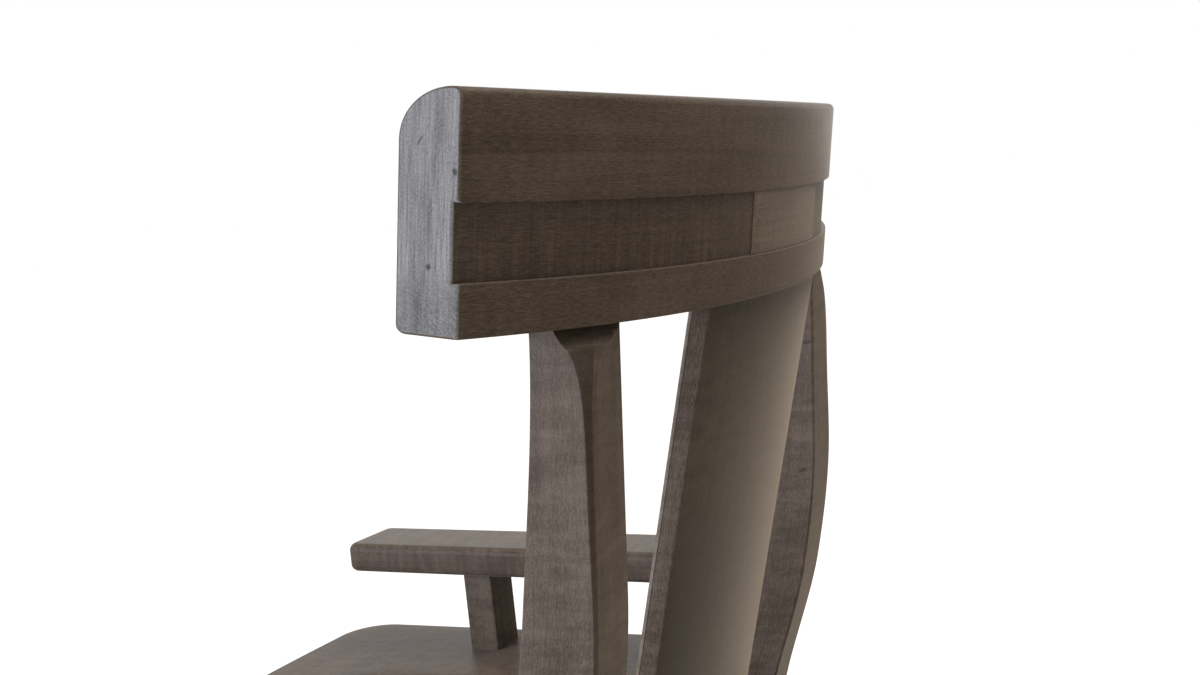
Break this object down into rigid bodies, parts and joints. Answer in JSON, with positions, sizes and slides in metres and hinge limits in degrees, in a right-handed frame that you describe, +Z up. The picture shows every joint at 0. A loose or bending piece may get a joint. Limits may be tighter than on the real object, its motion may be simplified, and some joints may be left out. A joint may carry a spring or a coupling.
{
  "type": "dining armchair",
  "caption": "Dining armchair in dark grey-brown stained hardwood, with a bent crest rail, a wide bowed splat, low thick arms on square supports and a scooped seat.",
  "frame": {"origin": "on the floor, under the middle of the chair's overall box", "axes": "+Z up; the chair faces -Y, so its back is on the +Y side; +X is the sitter's left"},
  "size_m": [0.67, 0.6584, 0.9997],
  "materials": {
    "stained_wood": "satin",
    "plain_wood": "matte",
    "zinc_steel": "satin",
    "glide_plastic": "matte"
  },
  "bodies": {
    "root": {"crest_rail": "stained_wood", "groove_block_left": "stained_wood", "groove_block_right": "stained_wood", "back_post_left": "stained_wood", "back_post_right": "stained_wood", "back_splat": "stained_wood", "seat": "stained_wood", "arm_left": "stained_wood", "arm_right": "stained_wood", "arm_support_left": "stained_wood", "arm_support_right": "stained_wood", "front_leg_left": "stained_wood", "front_leg_right": "stained_wood", "front_apron": "stained_wood", "rear_apron": "stained_wood", "side_apron_left": "stained_wood", "side_apron_right": "stained_wood", "side_stretcher_left": "stained_wood", "side_stretcher_right": "stained_wood", "cross_stretcher": "stained_wood", "corner_blocks": "plain_wood", "corner_block_screws": "zinc_steel", "seat_screws": "zinc_steel", "support_screws": "zinc_steel", "crest_dowels": "plain_wood", "arm_dowels": "plain_wood", "floor_glides": "glide_plastic"}
  },
  "joints": []
}
